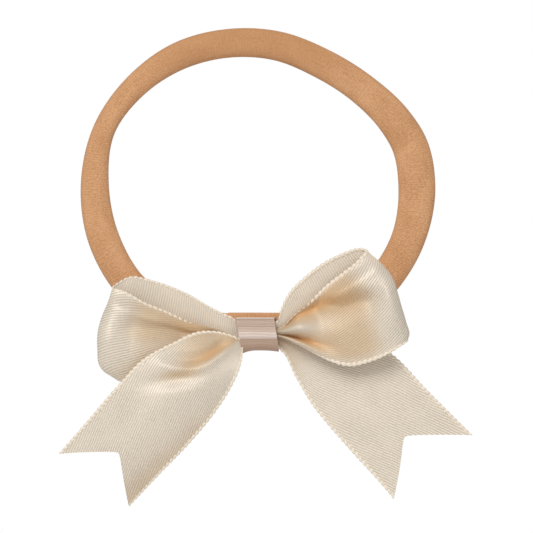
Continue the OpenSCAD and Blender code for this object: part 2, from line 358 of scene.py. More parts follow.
def nylon(name, colour, dark):
    """Brushed stretch nylon, with a darker colour for its grain and for painted shadow in creases and
    on top.
    """
    finish = Finish(name)
    along, across, shadow = finish.cloth()
    wander = finish.cloth_noise(along * 0.3, across * 0.3, 1.0, 2.0)
    courses = (along / COURSE_PITCH + wander * 1.6).wave()
    grain = finish.cloth_noise(along, across * 1.2, 1.9, 3.0)
    fuzz = finish.cloth_noise(along, across, 4.5, 1.0)
    cloud = finish.cloth_noise(along * 0.15, across * 0.3, 1.0, 2.0)
    shade = courses * 0.10 + grain * 0.75 + fuzz * 0.35 + cloud * 0.4
    body = finish.blend(shade.between(0.45, 1.1), dark, colour)
    # painted shadow: the third number darkens the crease and the top of the band
    body = finish.blend(shadow.between(0.0, 1.0) * 0.6, body, dark)
    height = courses * 0.25 + grain + fuzz * 0.5
    bumps = finish.node("Bump", None, {"Strength": 0.6, "Distance": 0.00018, "Height": height})
    finish.shade(Base_Color=body, Roughness=0.85 + grain * 0.1, Normal=bumps,
                 Specular_IOR_Level=0.25, Sheen_Weight=0.5, Sheen_Roughness=0.3,
                 Sheen_Tint=paint(1.0, 0.90, 0.88))
    return finish.material


band_nylon = nylon("band_nylon", paint(0.91, 0.70, 0.52), paint(0.76, 0.54, 0.36))
print("band finish:", band_nylon.name)

# %% [markdown]
# ## Thread and glue
#
# Sewing thread is matt and slightly rough, and hot-melt glue is clear, a little yellow and has
# small bubbles. Both are very small here, so one noise on the piece's own coordinates is enough
# for each. The floor gets a pale, even paint.


# %% Thread and glue
def thread_finish(name, colour):
    """Matt sewing thread."""
    finish = Finish(name)
    place = finish.node("TexCoord", out="Object")
    grain = finish.node("TexNoise", None, {"Vector": place, "Scale": 5000.0, "Detail": 2.0})
    body = finish.blend(grain, tuple(c * 0.8 for c in colour[:3]) + (1,), colour)
    bumps = finish.node("Bump", None, {"Strength": 0.5, "Distance": 0.00005, "Height": grain})
    finish.shade(Base_Color=body, Roughness=0.75 + grain * 0.1, Normal=bumps, Sheen_Weight=0.3)
    return finish.material


def glue_finish(name, colour):
    """Clear glue with small bubbles."""
    finish = Finish(name)
    place = finish.node("TexCoord", out="Object")
    bubbles = finish.node("TexNoise", None, {"Vector": place, "Scale": 1500.0, "Detail": 1.0})
    bumps = finish.node("Bump", None, {"Strength": 0.3, "Distance": 0.0001, "Height": bubbles})
    body = finish.blend(bubbles, colour, tuple(c * 0.92 for c in colour[:3]) + (1,))
    finish.shade(Base_Color=body, Roughness=0.18 + bubbles * 0.15, Normal=bumps, IOR=1.49,
                 Transmission_Weight=0.4)
    return finish.material


white_thread = thread_finish("white_thread", paint(0.95, 0.92, 0.86))
clear_glue = glue_finish("clear_glue", paint(0.93, 0.90, 0.82))
floor_paint = Finish("floor_paint")
floor_grain = floor_paint.node("TexNoise", None, {"Scale": 6.0, "Detail": 2.0})
floor_paint.shade(Base_Color=floor_paint.blend(floor_grain, paint(0.93, 0.93, 0.93),
                                               paint(0.96, 0.96, 0.96)), Roughness=0.8)
floor.data.materials.append(floor_paint.material)
print("small finishes:", white_thread.name, clear_glue.name)

# %% [markdown]
# ## Lines and depths
#
# Every length of ribbon is steered by a few points: its two edges seen from the front, in shares of
# the CAD piece's box, and how far forward it comes. A mesh pulled into shape by hand would be
# quicker, but nobody could read or change it. `smooth_line` draws a line through points and cuts
# it into equal lengths. `eased` is level at each of its stops, as pleats are at their ridges and
# valleys. `spot` is a soft patch, for a dent or a warm shade.


# %% Lines
def smooth_line(points, count=240):
    """A smooth line through the points, cut into equal lengths."""
    points = np.array(points, float)
    step = np.linalg.norm(np.diff(points, axis=0), axis=1)
    start = np.concatenate([[0], np.cumsum(step)])
    slope = np.diff(points, axis=0) / step[:, None]
    inner = (slope[:-1] * step[1:, None] + slope[1:] * step[:-1, None])
    turn = np.vstack([slope[:1], inner / (step[:-1] + step[1:])[:, None], slope[-1:]])
    fine = np.linspace(0, start[-1], 40 * len(points))
    i = np.clip(np.searchsorted(start, fine, side="right") - 1, 0, len(step) - 1)
    h = step[i][:, None]
    t = (fine - start[i])[:, None] / h
    line = ((1 + 2 * t) * (1 - t) ** 2 * points[i] + t * (1 - t) ** 2 * h * turn[i]
            + t * t * (3 - 2 * t) * points[i + 1] + t * t * (t - 1) * h * turn[i + 1])
    gone = np.concatenate([[0], np.cumsum(np.linalg.norm(np.diff(line, axis=0), axis=1))])
    even = np.linspace(0, gone[-1], count)
    return np.stack([np.interp(even, gone, column) for column in line.T], axis=1)


def eased(x, *stops):
    """Goes smoothly from stop to stop, each a place and a value, and is level at each."""
    place, value = np.array(stops, float).T
    i = np.clip(np.searchsorted(place, x, side="right") - 1, 0, len(place) - 2)
    t = np.clip((x - place[i]) / (place[i + 1] - place[i]), 0, 1)
    return value[i] + (value[i + 1] - value[i]) * t * t * (3 - 2 * t)


def followed(x, *stops):
    """Goes smoothly through the stops without being level at them."""
    line = smooth_line(stops, 400)
    return np.interp(x, line[:, 0], line[:, 1])


def spot(t, v, middle, size, turn=0.0):
    """A soft round or oval spot, 1 at its middle, on a sheet's two shares."""
    a, b = t - middle[0], v - middle[1]
    c, s = math.cos(math.radians(turn)), math.sin(math.radians(turn))
    return np.exp(-((a * c + b * s) / size[0]) ** 2 - ((b * c - a * s) / size[1]) ** 2)


print("half way along a step:", float(eased(0.5, (0, 0), (1, 1))))


# %% Boxes
def node_box(*nodes):
    """Lowest and highest corner round these CAD nodes, in mm."""
    lows, highs = zip(*(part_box(node) for node in nodes))
    return np.min(lows, axis=0) / MM, np.max(highs, axis=0) / MM


def placed(box, shares):
    """Points in shares of a box's width and height, as x and z in mm."""
    low, high = box
    return [(low[0] + a * (high[0] - low[0]), low[2] + b * (high[2] - low[2]))
            for a, b in shares]


print("box round the pleats, mm:", *(corner.round(1) for corner in node_box("gather")))

# %% [markdown]
# ## A sheet as a mesh
#
# Real ribbon has two faces and a thickness, so a sheet is two grids of points, joined round their
# rims into one closed skin. A single plane with a Solidify modifier would look the same, but here
# each point also remembers where it lies on the flat cloth, which the weave uses, and on which
# face. The rear counts across the other way, so that the threads slant alike on both.


# %% Skin
class Skin:
    """Collects grids of points into one mesh."""

    def __init__(self):
        self.points, self.cloth, self.reverse, self.faces, self.count = [], [], [], [], 0

    def grid(self, points, cloth, flip=False, closed=False, reverse=0.0):
        """Adds rows of points, with faces between them; gives their numbers."""
        rows, columns = points.shape[:2]
        number = self.count + np.arange(rows * columns).reshape(rows, columns)
        self.count += rows * columns
        self.points.append(points.reshape(-1, 3))
        self.cloth.append(cloth.reshape(-1, 3))
        self.reverse.append(np.full(rows * columns, reverse))
        wide = np.concatenate([number, number[:, :1]], axis=1) if closed else number
        self.join(wide, flip)
        return number

    def join(self, wide, flip=False):
        """Faces between rows of point numbers."""
        quads = np.stack([wide[:-1, :-1], wide[1:, :-1], wide[1:, 1:], wide[:-1, 1:]], axis=-1)
        quads = quads.reshape(-1, 4)
        self.faces.append(quads[:, ::-1] if flip else quads)

    def cap(self, ring, flip=False):
        """Closes a tube's end with a fan about its middle."""
        pts, cl = np.vstack(self.points), np.vstack(self.cloth)
        middle = self.count
        self.points.append(pts[ring].mean(axis=0)[None])
        self.cloth.append(cl[ring].mean(axis=0)[None])
        self.reverse.append(np.zeros(1))
        self.count += 1
        nxt = np.roll(ring, -1)
        fan = np.stack([ring, nxt, np.full_like(ring, middle)], axis=-1)
        self.faces.append(fan[:, ::-1] if flip else fan)

    def build(self, name, material):
        """The mesh object, in metres, smooth shaded."""
        mesh = bpy.data.meshes.new(name)
        mesh.from_pydata((np.vstack(self.points) * MM).tolist(), [],
                         [f.tolist() for part in self.faces for f in part])
        note = mesh.attributes.new("cloth", "FLOAT_VECTOR", "POINT")
        note.data.foreach_set("vector", np.vstack(self.cloth).astype(np.float32).ravel())
        side = mesh.attributes.new("reverse", "FLOAT", "POINT")
        side.data.foreach_set("value", np.concatenate(self.reverse).astype(np.float32))
        mesh.polygons.foreach_set("use_smooth", np.ones(len(mesh.polygons), bool))
        mesh.materials.append(material)
        mesh.update()
        made = bpy.data.objects.new(name, mesh)
        bpy.context.collection.objects.link(made)
        return made


def unit(vectors):
    """The same directions with length one."""
    return vectors / np.maximum(np.linalg.norm(vectors, axis=-1, keepdims=True), 1e-9)


def facing(surface):
    """Which way each point of a grid faces."""
    return unit(np.cross(np.gradient(surface, axis=0), np.gradient(surface, axis=1)))


print("what a skin keeps:", ", ".join(vars(Skin())))

# %% [markdown]
# ### The selvedge
#
# Along a ribbon's edge the crosswise threads turn back and make a row of tiny beads. A bump could
# draw them on the face, but they also break up the outline, so they are real: a tube that swells
# and narrows, swept along each long edge and set a little inside it.

# %% Selvedge and sheet
BEAD_PITCH = 1.35
BEAD_STEP = 0.13  # distance between the rings of a string
BEAD_SIDES = 8
BEAD_INSET = 0.30


def beads(skin, edge, normal, outward, along, across, size):
    """A string of selvedge beads along one edge of a sheet; size scales them along it."""
    gone = np.concatenate([[0], np.cumsum(np.linalg.norm(np.diff(edge, axis=0), axis=1))])
    fine = np.linspace(0, gone[-1], max(4, int(gone[-1] / BEAD_STEP)))

    def resampled(rows):
        return np.stack([np.interp(fine, gone, column) for column in rows.T], axis=1)

    edge, normal, outward = resampled(edge), unit(resampled(normal)), unit(resampled(outward))
    swell = np.abs(np.sin(math.pi * fine / BEAD_PITCH)) ** 0.7
    size = np.interp(fine, gone, size)[:, None, None]
    around = np.linspace(0, 2 * math.pi, BEAD_SIDES, endpoint=False)
    edge = edge - outward * BEAD_INSET
    wide = (0.24 + 0.36 * swell)[:, None, None] * size
    thick = (0.12 + 0.30 * swell)[:, None, None] * size
    ring = (edge[:, None] + outward[:, None] * np.cos(around)[None, :, None] * wide
            + normal[:, None] * np.sin(around)[None, :, None] * thick)
    flat_along = np.broadcast_to(np.interp(fine, gone, along)[:, None], ring.shape[:2])
    # painted shade in the gaps between the beads
    bead_gap_shade = np.broadcast_to((0.15 * (1 - swell))[:, None], ring.shape[:2])
    cloth = np.stack([flat_along, np.full(ring.shape[:2], across), bead_gap_shade], -1)
    right_handed = np.einsum("ij,ij->i", np.cross(normal, outward), np.gradient(edge, axis=0))
    flip = right_handed.mean() < 0
    numbers = skin.grid(ring, cloth, flip=flip, closed=True)
    skin.cap(numbers[0], flip=flip)
    skin.cap(numbers[-1], flip=not flip)


def sheet_skin(surface, along, across, painted_shade, thickness, sizes=None):
    """A closed thin sheet about a grid of points, with beads where sizes says how big they are."""
    skin = Skin()
    normal = facing(surface)
    front = skin.grid(surface + normal * thickness / 2, np.stack([along, across, painted_shade], -1))
    rear = skin.grid(surface - normal * thickness / 2, np.stack([along, -across, painted_shade], -1),
                     flip=True, reverse=1.0)
    rim = np.concatenate([front[0, :-1], front[:-1, -1], front[-1, :0:-1], front[:0:-1, 0]])
    rim_rear = np.concatenate([rear[0, :-1], rear[:-1, -1], rear[-1, :0:-1], rear[:0:-1, 0]])
    loop = np.stack([np.append(rim, rim[0]), np.append(rim_rear, rim_rear[0])])
    skin.join(loop)
    if sizes is not None:
        for column, inner in ((0, 1), (-1, -2)):
            outward = unit(surface[:, column] - surface[:, inner])
            beads(skin, surface[:, column], normal[:, column], outward, along[:, column],
                  across[0, column], sizes[:, column])
    return skin


print("beads along a metre of selvedge:", round(1000 / BEAD_PITCH))

# %% [markdown]
# ## A loop of ribbon
#
# A loop leaves the knot, swings forward, turns at its outer end and comes back behind itself. A
# cloth simulation could let a ribbon find such a shape, but it would settle in other folds after
# every small change, and a tied bow is dressed by hand until it looks right. So we draw it.
#
# Seen from above a loop is a teardrop, which `plan` gives as places along the loop and depths.
# Seen from the front it is two panels, each between its upper and its lower edge, and both end on
# the same slanted fold. `panel` fills the space between two edges and bows its outer end out to
# the fold. The loop is less deep along its edges than at mid width, as a pinched ribbon is.


# %% Panels
def on_line(line, t):
    """Points at shares t of a smooth line."""
    share = np.linspace(0, 1, len(line))
    return np.stack([np.interp(t, share, column) for column in line.T], axis=-1)


def panel(top, low, end, t, v):
    """Points between an upper and a lower edge at shares t along and v down, bowed out at the end."""
    upper, lower = on_line(top, t)[:, None], on_line(low, t)[:, None]
    down = v[None, :, None]
    bow = on_line(end, v) - (end[0] + (end[-1] - end[0]) * v[:, None])
    return upper + (lower - upper) * down + (t ** 3)[:, None, None] * bow[None]


print("middle of a short line:", on_line(np.array([(0, 0), (10, 4)]), 0.5))

# %% Loops
RIBBON_THICK = 0.32
LOOP_ROWS = 230
LOOP_COLUMNS = 72


def loop_surface(box, front, back, fold, plan, ripple):
    """The middle surface of a loop: points, shares along each panel, shares down, front share."""
    length = box[1][0] - box[0][0]
    nearest, rear = min(y for _, y in plan), max(y for a, y in plan if a > 0.3)
    route = smooth_line([(a * length, y) for a, y in plan], LOOP_ROWS)
    t, depth = route[:, 0] / length, route[:, 1]
    t = np.clip(t / t.max(), 0, 1)
    v = np.linspace(0, 1, LOOP_COLUMNS)
    drawn = [smooth_line(placed(box, shares)) for shares in (*front, *back, fold)]
    turning = eased(depth, (nearest + 1.2, 1), (rear - 1.0, 0))
    first = np.arange(LOOP_ROWS) < t.argmax()
    ahead = np.where(t > 0.86, turning, first.astype(float))[:, None]
    flat = (panel(drawn[0], drawn[1], drawn[4], t, v) * ahead[..., None]
            + panel(drawn[2], drawn[3], drawn[4], t, v) * (1 - ahead)[..., None])
    tt, vv = np.broadcast_arrays(t[:, None], v[None, :])
    openness = eased(v, (0, 0.5), (0.2, 0.92), (0.5, 1), (1, 0.55))
    y = rear + (depth[:, None] - rear) * openness - ripple(tt, vv) * ahead
    surface = np.stack([flat[..., 0], y, flat[..., 1]], axis=-1)
    return surface, tt, vv, ahead


def ribbon_piece(name, surface, along, painted_shade, flip, sizes=1.0):
    """Builds a satin piece from its middle surface; along is each point's place on the ribbon."""
    shape = surface.shape[:2]
    across = np.broadcast_to(np.linspace(-RIBBON / 2, RIBBON / 2, shape[1]), shape)
    along, sizes = np.broadcast_to(along, shape), np.broadcast_to(sizes, shape)
    if flip:
        surface, along, painted_shade, sizes = (part[:, ::-1] for part in (surface, along, painted_shade, sizes))
    skin = sheet_skin(surface, along, across, painted_shade, RIBBON_THICK, sizes)
    return skin.build(name, wide_satin)


def round_loop(cloth):
    """How far along its ribbon each row of a loop lies."""
    return np.linspace(0, cloth, LOOP_ROWS)[:, None]


def rolled_in(t, ahead):
    """How big the selvedge beads show: near the knot the edge is rolled in."""
    return eased(t, (0.3, 0.45), (0.5, 1)) * ahead + (1 - ahead)


print("points in a loop's grid:", LOOP_ROWS * LOOP_COLUMNS)

# %% [markdown]
# ## The right loop
#
# Its upper edges part near the knot: the strip between them is the inside of the back panel. The
# pleats run out from the knot as a warm valley, a bright ridge, a deep valley and a curled lower
# rim, and open into one shallow hollow before the fold. Ripples like these could come from a
# displacement modifier, but sums of `eased` lines keep each fold where we want it. Forward is
# positive. Painted shade, tinted warm, follows the same folds, with less of it on the ridge.

# %% Right loop
right_box = node_box("right_loop")
RIGHT_FRONT = (
    [(-0.045, 0.31), (0.02, 0.325), (0.13, 0.44), (0.26, 0.55), (0.36, 0.66), (0.51, 0.79),
     (0.60, 0.87), (0.67, 0.955)],
    [(-0.045, 0.245), (0.03, 0.235), (0.15, 0.18), (0.30, 0.09), (0.42, 0.03), (0.56, 0.00),
     (0.68, 0.03), (0.78, 0.07), (0.88, 0.13), (0.97, 0.20)])
RIGHT_BACK = (
    [(-0.045, 0.34), (0.0, 0.375), (0.025, 0.46), (0.10, 0.62), (0.20, 0.73), (0.34, 0.85),
     (0.52, 0.95), (0.61, 0.985), (0.66, 0.995)],
    [(-0.045, 0.28), (0.10, 0.23), (0.26, 0.18), (0.50, 0.12), (0.75, 0.15), (0.98, 0.21)])
RIGHT_FOLD = [(0.655, 0.99), (0.70, 0.945), (0.765, 0.88), (0.865, 0.73), (0.895, 0.62),
              (0.92, 0.52), (0.96, 0.37), (0.985, 0.25), (0.965, 0.20)]
LOOP_PLAN = [(-0.01, -7.7), (0.06, -8.2), (0.20, -9.9), (0.42, -12.3), (0.68, -14.0),
             (0.86, -14.7), (0.96, -13.9), (1.0, -11.6), (0.97, -9.0), (0.88, -7.5),
             (0.68, -6.8), (0.42, -6.6), (0.15, -6.6), (-0.01, -6.6)]
RIGHT_LOOP_CLOTH = 70.0  # mm of ribbon from the knot round to the knot
# painted shade on the inside of each loop's back panel
INSIDE_PAINTED_SHADE = 0.12


def dish(t, v, rim, wall, floor):
    """A hollow pressed into a loop's front: a steep wall under its upper rim, a floor that rises."""
    below = v - eased(t, *rim)
    return (eased(below, (-0.02, 0), (wall, 1)) * eased(v, *floor)
            * eased(t, (0.80, 1), (0.95, 0)))


def right_ripple(t, v):
    """How far the right loop's front stands forward of the plan, in mm."""
    pleats = eased(v, (0, 0.5), (0.14, -1.1), (0.42, 1.3), (0.74, -1.7), (0.92, 1.1), (1.0, 0.4))
    hollow = dish(t, v, ((0.44, 0.0), (0.70, 0.18), (0.92, 0.30)), 0.17,
                  ((0.35, 1), (0.97, 0.15))) * eased(t, (0.22, 0), (0.45, 1))
    curled = 0.9 * eased(v, (0, 1), (0.16, 0)) * eased(t, (0.45, 0), (0.7, 1), (0.95, 0.3))
    return pleats * eased(t, (0, 0.1), (0.18, 1), (0.6, 0)) - 3.2 * hollow - curled


def right_painted_shade(t, v, ahead):
    """Painted shade, tinted warm: in the two valleys, over the hollow and under its rim; less on the
    ridge.
    """
    upper = spot(t, v, (0.28, 0.13), (0.26, 0.10)) * 0.40
    lower = spot(t, v, (0.24, 0.77), (0.20, 0.08)) * 0.50
    broad = (eased(t, (0, 1), (0.7, 1), (0.92, 0)) * 0.44
             * eased(v, (0, 0.7), (0.1, 1), (0.85, 1), (1, 0.4)))
    under = spot(t, v, (0.60, 0.22), (0.28, 0.11), 30) * 0.26
    ridge = spot(t, v, (0.25, 0.45), (0.22, 0.12)) * 0.30
    front = np.clip(upper + lower + broad + under - ridge, 0, 1)
    return front * ahead + INSIDE_PAINTED_SHADE * (1 - ahead)


surface, t, v, ahead = loop_surface(right_box, RIGHT_FRONT, RIGHT_BACK, RIGHT_FOLD, LOOP_PLAN,
                                    right_ripple)
right_loop = ribbon_piece("right_bow_loop", surface, round_loop(RIGHT_LOOP_CLOTH),
                          right_painted_shade(t, v, ahead), True, rolled_in(t, ahead))
print("right loop points:", len(right_loop.data.vertices))

# %% [markdown]
# ## The left loop
#
# It is built like the right one, but the left tail crosses in front of its lower half, so only its
# upper half shows, with a wide strip of the back panel above it. Copying the right loop in a mirror
# would be quicker, but no two loops of a tied bow are alike, and the tail presses this one flat.

# %% Left loop
left_box = node_box("left_loop")
LEFT_FRONT = (
    [(1.045, 0.40), (0.98, 0.415), (0.945, 0.445), (0.80, 0.52), (0.655, 0.57), (0.48, 0.67),
     (0.335, 0.745), (0.22, 0.83), (0.15, 0.865), (0.10, 0.875)],
    [(1.045, 0.31), (0.95, 0.26), (0.85, 0.18), (0.65, 0.08), (0.45, 0.02), (0.30, 0.0),
     (0.15, 0.02)])
LEFT_BACK = (
    [(1.045, 0.52), (1.0, 0.56), (0.97, 0.60), (0.90, 0.64), (0.80, 0.705), (0.655, 0.815),
     (0.48, 0.91), (0.335, 0.965), (0.25, 0.985), (0.16, 0.96)],
    [(1.045, 0.38), (0.85, 0.26), (0.65, 0.15), (0.45, 0.08), (0.15, 0.03)])
LEFT_FOLD = [(0.10, 0.88), (0.07, 0.74), (0.025, 0.595), (0.0, 0.46), (0.0, 0.295),
             (0.01, 0.175), (0.045, 0.11), (0.10, 0.065), (0.15, 0.025)]
LEFT_LOOP_CLOTH = 74.0


def left_ripple(t, v):
    """How far the left loop's front stands forward; flattened is what the tail presses back."""
    pleats = eased(v, (0, 0.4), (0.16, -0.8), (0.42, 0.6), (0.72, -0.9), (1.0, 0.4))
    hollow = dish(t, v, ((0.45, 0.0), (0.75, 0.08), (0.95, 0.22)), 0.24,
                  ((0.3, 1), (0.85, 0.1))) * eased(t, (0.25, 0), (0.5, 1))
    flattened = (eased(t, (0.04, 0), (0.15, 1.9), (0.4, 1.7), (0.8, 0))
                 * eased(v, (0.0, 0), (0.3, 1)))
    return pleats * eased(t, (0, 0.1), (0.18, 1), (0.5, 0)) - 2.6 * hollow - flattened


def left_painted_shade(t, v, ahead):
    """Painted shade, tinted warm: most in the fold beside the knot, and broad over the front."""
    fold = spot(t, v, (0.38, 0.10), (0.20, 0.14)) * 0.25
    broad = (eased(t, (0, 1), (0.7, 1), (0.95, 0)) * 0.42
             * eased(v, (0, 0.7), (0.1, 1), (0.3, 1), (0.7, 0.4)))
    return np.clip(fold + broad, 0, 1) * ahead + INSIDE_PAINTED_SHADE * (1 - ahead)


surface, t, v, ahead = loop_surface(left_box, LEFT_FRONT, LEFT_BACK, LEFT_FOLD, LOOP_PLAN,
                                    left_ripple)
left_loop = ribbon_piece("left_bow_loop", surface, round_loop(LEFT_LOOP_CLOTH),
                         left_painted_shade(t, v, ahead), False, 0.7 * rolled_in(t, ahead))
print("left loop points:", len(left_loop.data.vertices))

# %% [markdown]
# ## A tail
#
# A tail is a single run of ribbon from the knot to a swallow-tail cut. A Boolean could cut the
# notch, but it leaves thin, ragged triangles. Here the grid's columns get shorter towards the
# middle of the cut, so the notch is part of the mesh and its edges stay clean.

# %% Tails
TAIL_ROWS = 200
TAIL_COLUMNS = 80
TAIL_CLOTH = 54.0  # mm of ribbon from the knot to the tips


def tail_surface(box, edges, notch, depth):
    """Middle surface of a tail; notch is its depth, its place across and how round it is."""
    deep, middle, rounding = notch
    top, low = (smooth_line(placed(box, shares)) for shares in edges)
    s, v = np.linspace(0, 1, TAIL_ROWS)[:, None], np.linspace(0, 1, TAIL_COLUMNS)[None]
    off = np.where(v < middle, (middle - v) / middle, (v - middle) / (1 - middle))
    reach = 1 - deep * (1 - np.sqrt(off ** 2 + rounding ** 2) / math.sqrt(1 + rounding ** 2))
    t, v = s * reach, np.broadcast_to(v, (TAIL_ROWS, TAIL_COLUMNS))
    upper, lower = on_line(top, t), on_line(low, t)
    flat = upper + (lower - upper) * v[..., None]
    y = depth(flat[..., 0], flat[..., 1], t, v)
    return np.stack([flat[..., 0], y, flat[..., 1]], axis=-1), t, v


print("points in a tail's grid:", TAIL_ROWS * TAIL_COLUMNS)

# %% [markdown]
# ## The left tail
#
# It leaves the knot over the left loop, with one pleat laid over the other: a recessed part along
# its upper edge and a broad bright facet below the crest. Its lower edge comes forward a little
# and then curls away towards the tip. One bent plane would miss all this, so the depth is a sum of
# small shapes laid on a route. The joint's record says where the tail bends, and the route is
# measured from there.

# %% Left tail
TAIL_NOTCH_LEFT = (0.185, 0.5, 0.06)
joints = {joint["name"]: joint for joint in frame["record"]["behaviour"]["joints"]}


def hinge(name, outward):
    """A joint's place in mm, and the direction square to its axis that points to the tip."""
    place = np.array(joints[name]["pos_m"]) / MM
    axis = np.array(joints[name]["axis"])
    away = unit(np.cross(axis, (0, 1, 0)))
    return place, away * np.sign(away @ np.array(outward))


left_hinge, left_away = hinge("left_tail_swing", (-1, 0, -1))
left_tail_box = node_box("left_tail_root", "left_tail")
LEFT_TAIL_EDGES = (
    [(1.03, 0.94), (0.97, 0.965), (0.895, 0.985), (0.785, 0.985), (0.645, 0.925),
     (0.475, 0.83), (0.35, 0.70), (0.135, 0.45), (0.0, 0.295)],
    [(1.03, 0.895), (1.03, 0.86), (1.015, 0.79), (0.97, 0.685), (0.875, 0.535), (0.745, 0.375),
     (0.565, 0.185), (0.385, -0.01)])
LEAN = math.tan(math.radians(12))
CREST = ((-27, -43.2), (-23, -44.4), (-19, -45.2), (-15, -45.0), (-12, -43.8), (-9.4, -42.0),
         (-7, -40.4), (-4.4, -38.9), (0, -36.5))


def left_tail_depth(x, z, t, v):
    """The left tail's place along y, in mm; beyond counts from the hinge, over from the crest."""
    beyond = (x - left_hinge[0]) * left_away[0] + (z - left_hinge[2]) * left_away[2]
    base = followed(beyond, (-40, -7.7), (-29.5, -7.9), (-27, -8.7), (-24, -10.6), (-18, -13.8),
                    (-11, -15.9), (-4, -16.2), (0, -16.1), (6, -16.1 + 5.4 * LEAN),
                    (30, -16.1 + 29.4 * LEAN))
    over = z - followed(x, *CREST)
    near = eased(x, (-26, 0), (-17, 1))
    recess = eased(over, (-0.6, 0), (2.0, 1), (5, 0.45), (8, 0.3)) * near * 1.5
    crest = np.exp(-((over - 0.2) / 1.5) ** 2) * near * 0.8
    under = spot(x, z, (-20, -47.6), (6.5, 2.2), 8.0) * 1.5
    ridge = 0.42
    bow = (5.0 * (np.clip(v - ridge, 0, 1) / (1 - ridge)) ** 2
           + 0.6 * (np.clip(ridge - v, 0, 1) / ridge) ** 2) * eased(t, (0.05, 0), (0.35, 1))
    beyond = np.clip(beyond, 0, 40)
    curl = (0.0115 * beyond ** 2 - 0.18 * beyond) * eased(v, (0.1, 0.1), (0.85, 1))
    return base + (recess - crest) * eased(t, (0.05, 0), (0.15, 1)) + under + bow + curl


def left_tail_painted_shade(x, z, v):
    """Painted shade, tinted warm: in the recess above the crest, painted shadow in the dent under it,
    and along the lower edge.
    """
    over = z - followed(x, *CREST)
    region = eased(over, (-0.6, 0), (1.8, 0.46), (6, 0.40)) * eased(x, (-25, 0), (-14, 1))
    glow = spot(x, z, (-11, -41.6), (6.0, 1.6), 30) * 0.32
    # painted shade towards the tip and along the lower edge, where the tail turns away from the light
    low = eased(z, (-76, 0.18), (-60, 0.08), (-52, 0)) * eased(v, (0.2, 0.1), (0.9, 1))
    low = low + 0.16 * eased(v, (0.7, 0), (1, 1)) * eased(z, (-60, 1), (-44, 0.3))
    # painted shadow in the dent under the crest
    under = spot(x, z, (-19, -46.4), (6, 1.6), 8) * 0.42
    return np.clip(region + glow + under + low, 0, 1)


surface, t, v = tail_surface(left_tail_box, LEFT_TAIL_EDGES, TAIL_NOTCH_LEFT, left_tail_depth)
left_tail = ribbon_piece("left_bow_tail", surface, t * TAIL_CLOTH,
                         left_tail_painted_shade(surface[..., 0], surface[..., 2], v), False)
print("left tail points:", len(left_tail.data.vertices))

# %% [markdown]
# ## The right tail
#
# It leaves the knot behind everything else and lies almost flat. A flat sheet would look like
# card, so it gets a slight wave along it and falls back a little towards both edges.

# %% Right tail
right_hinge, right_away = hinge("right_tail_swing", (1, 0, -1))
right_tail_box = node_box("right_tail_root", "right_tail")
RIGHT_TAIL_EDGES = (
    [(-0.01, 0.96), (0.06, 0.985), (0.145, 0.995), (0.31, 0.99), (0.475, 0.925), (0.585, 0.84),
     (0.77, 0.625), (1.0, 0.365)],
    [(-0.01, 0.89), (0.03, 0.85), (0.09, 0.72), (0.17, 0.565), (0.35, 0.315), (0.545, 0.07),
     (0.60, -0.005)])
TAIL_NOTCH_RIGHT = (0.20, 0.5, 0.06)
RIGHT_TAIL_Y = -5.6


def right_tail_depth(x, z, t, v):
    """The right tail's place along y, in mm, which needs only the two shares."""
    wave = 0.3 * np.sin(t * 5.2 + v * 1.5) + 1.4 * (v - 0.5) ** 2
    return RIGHT_TAIL_Y + wave * eased(t, (0, 0), (0.35, 1))


surface, t, v = tail_surface(right_tail_box, RIGHT_TAIL_EDGES, TAIL_NOTCH_RIGHT,
                             right_tail_depth)
# the last argument is painted shade, most at the knot under the loop
right_tail = ribbon_piece("right_bow_tail", surface, t * TAIL_CLOTH,
                          0.05 + 0.3 * eased(t, (0, 1), (0.3, 0)), True)
print("right tail points:", len(right_tail.data.vertices))

# %% [markdown]
# ## The pleated middle
#
# Inside the wrap the ribbon passes three times, folded small and bound with thread. Only its ends
# can be seen, beside the wrap, and a plain block would look wrong there. Each pass is a zigzag
# sheet about as long as the wrap is wide, and the three lie one behind the other.

# %% Pleated middle
gather_box = node_box("gather")
PLEAT_LEGS = 18
PLEAT_DEEP = 1.25
PLEAT_STEP = 1.55  # from one pass to the next
PLEAT_COLUMNS = 289
PLEAT_HALF = 3.2  # half a pass's length, mm
PLEAT_THICK = 0.14
passes = []
for number in range(3):
    v = np.linspace(0, 1, PLEAT_COLUMNS)
    leg = np.abs((v * PLEAT_LEGS) % 2 - 1)
    zigzag = eased(leg, (0, 0), (1, 1)) * 0.4 + leg * 0.6
    z = gather_box[1][2] - 0.3 - v * (gather_box[1][2] - gather_box[0][2] - 0.6)
    y = gather_box[0][1] + 0.2 + PLEAT_STEP * number + zigzag * PLEAT_DEEP
    x = np.linspace(-PLEAT_HALF, PLEAT_HALF, 12)[:, None]
    x, y, z, across = np.broadcast_arrays(x, y, z, v * RIBBON - RIBBON / 2)
    surface = np.stack([x, y, z], axis=-1)
    # painted shade: an even half of the fold shade on every pass
    skin = sheet_skin(surface, x, across, np.full(x.shape, 0.5), PLEAT_THICK)
    passes.append(skin.build("pleated_pass_%d" % (number + 1), wide_satin))
print("passes of pleats:", len(passes))
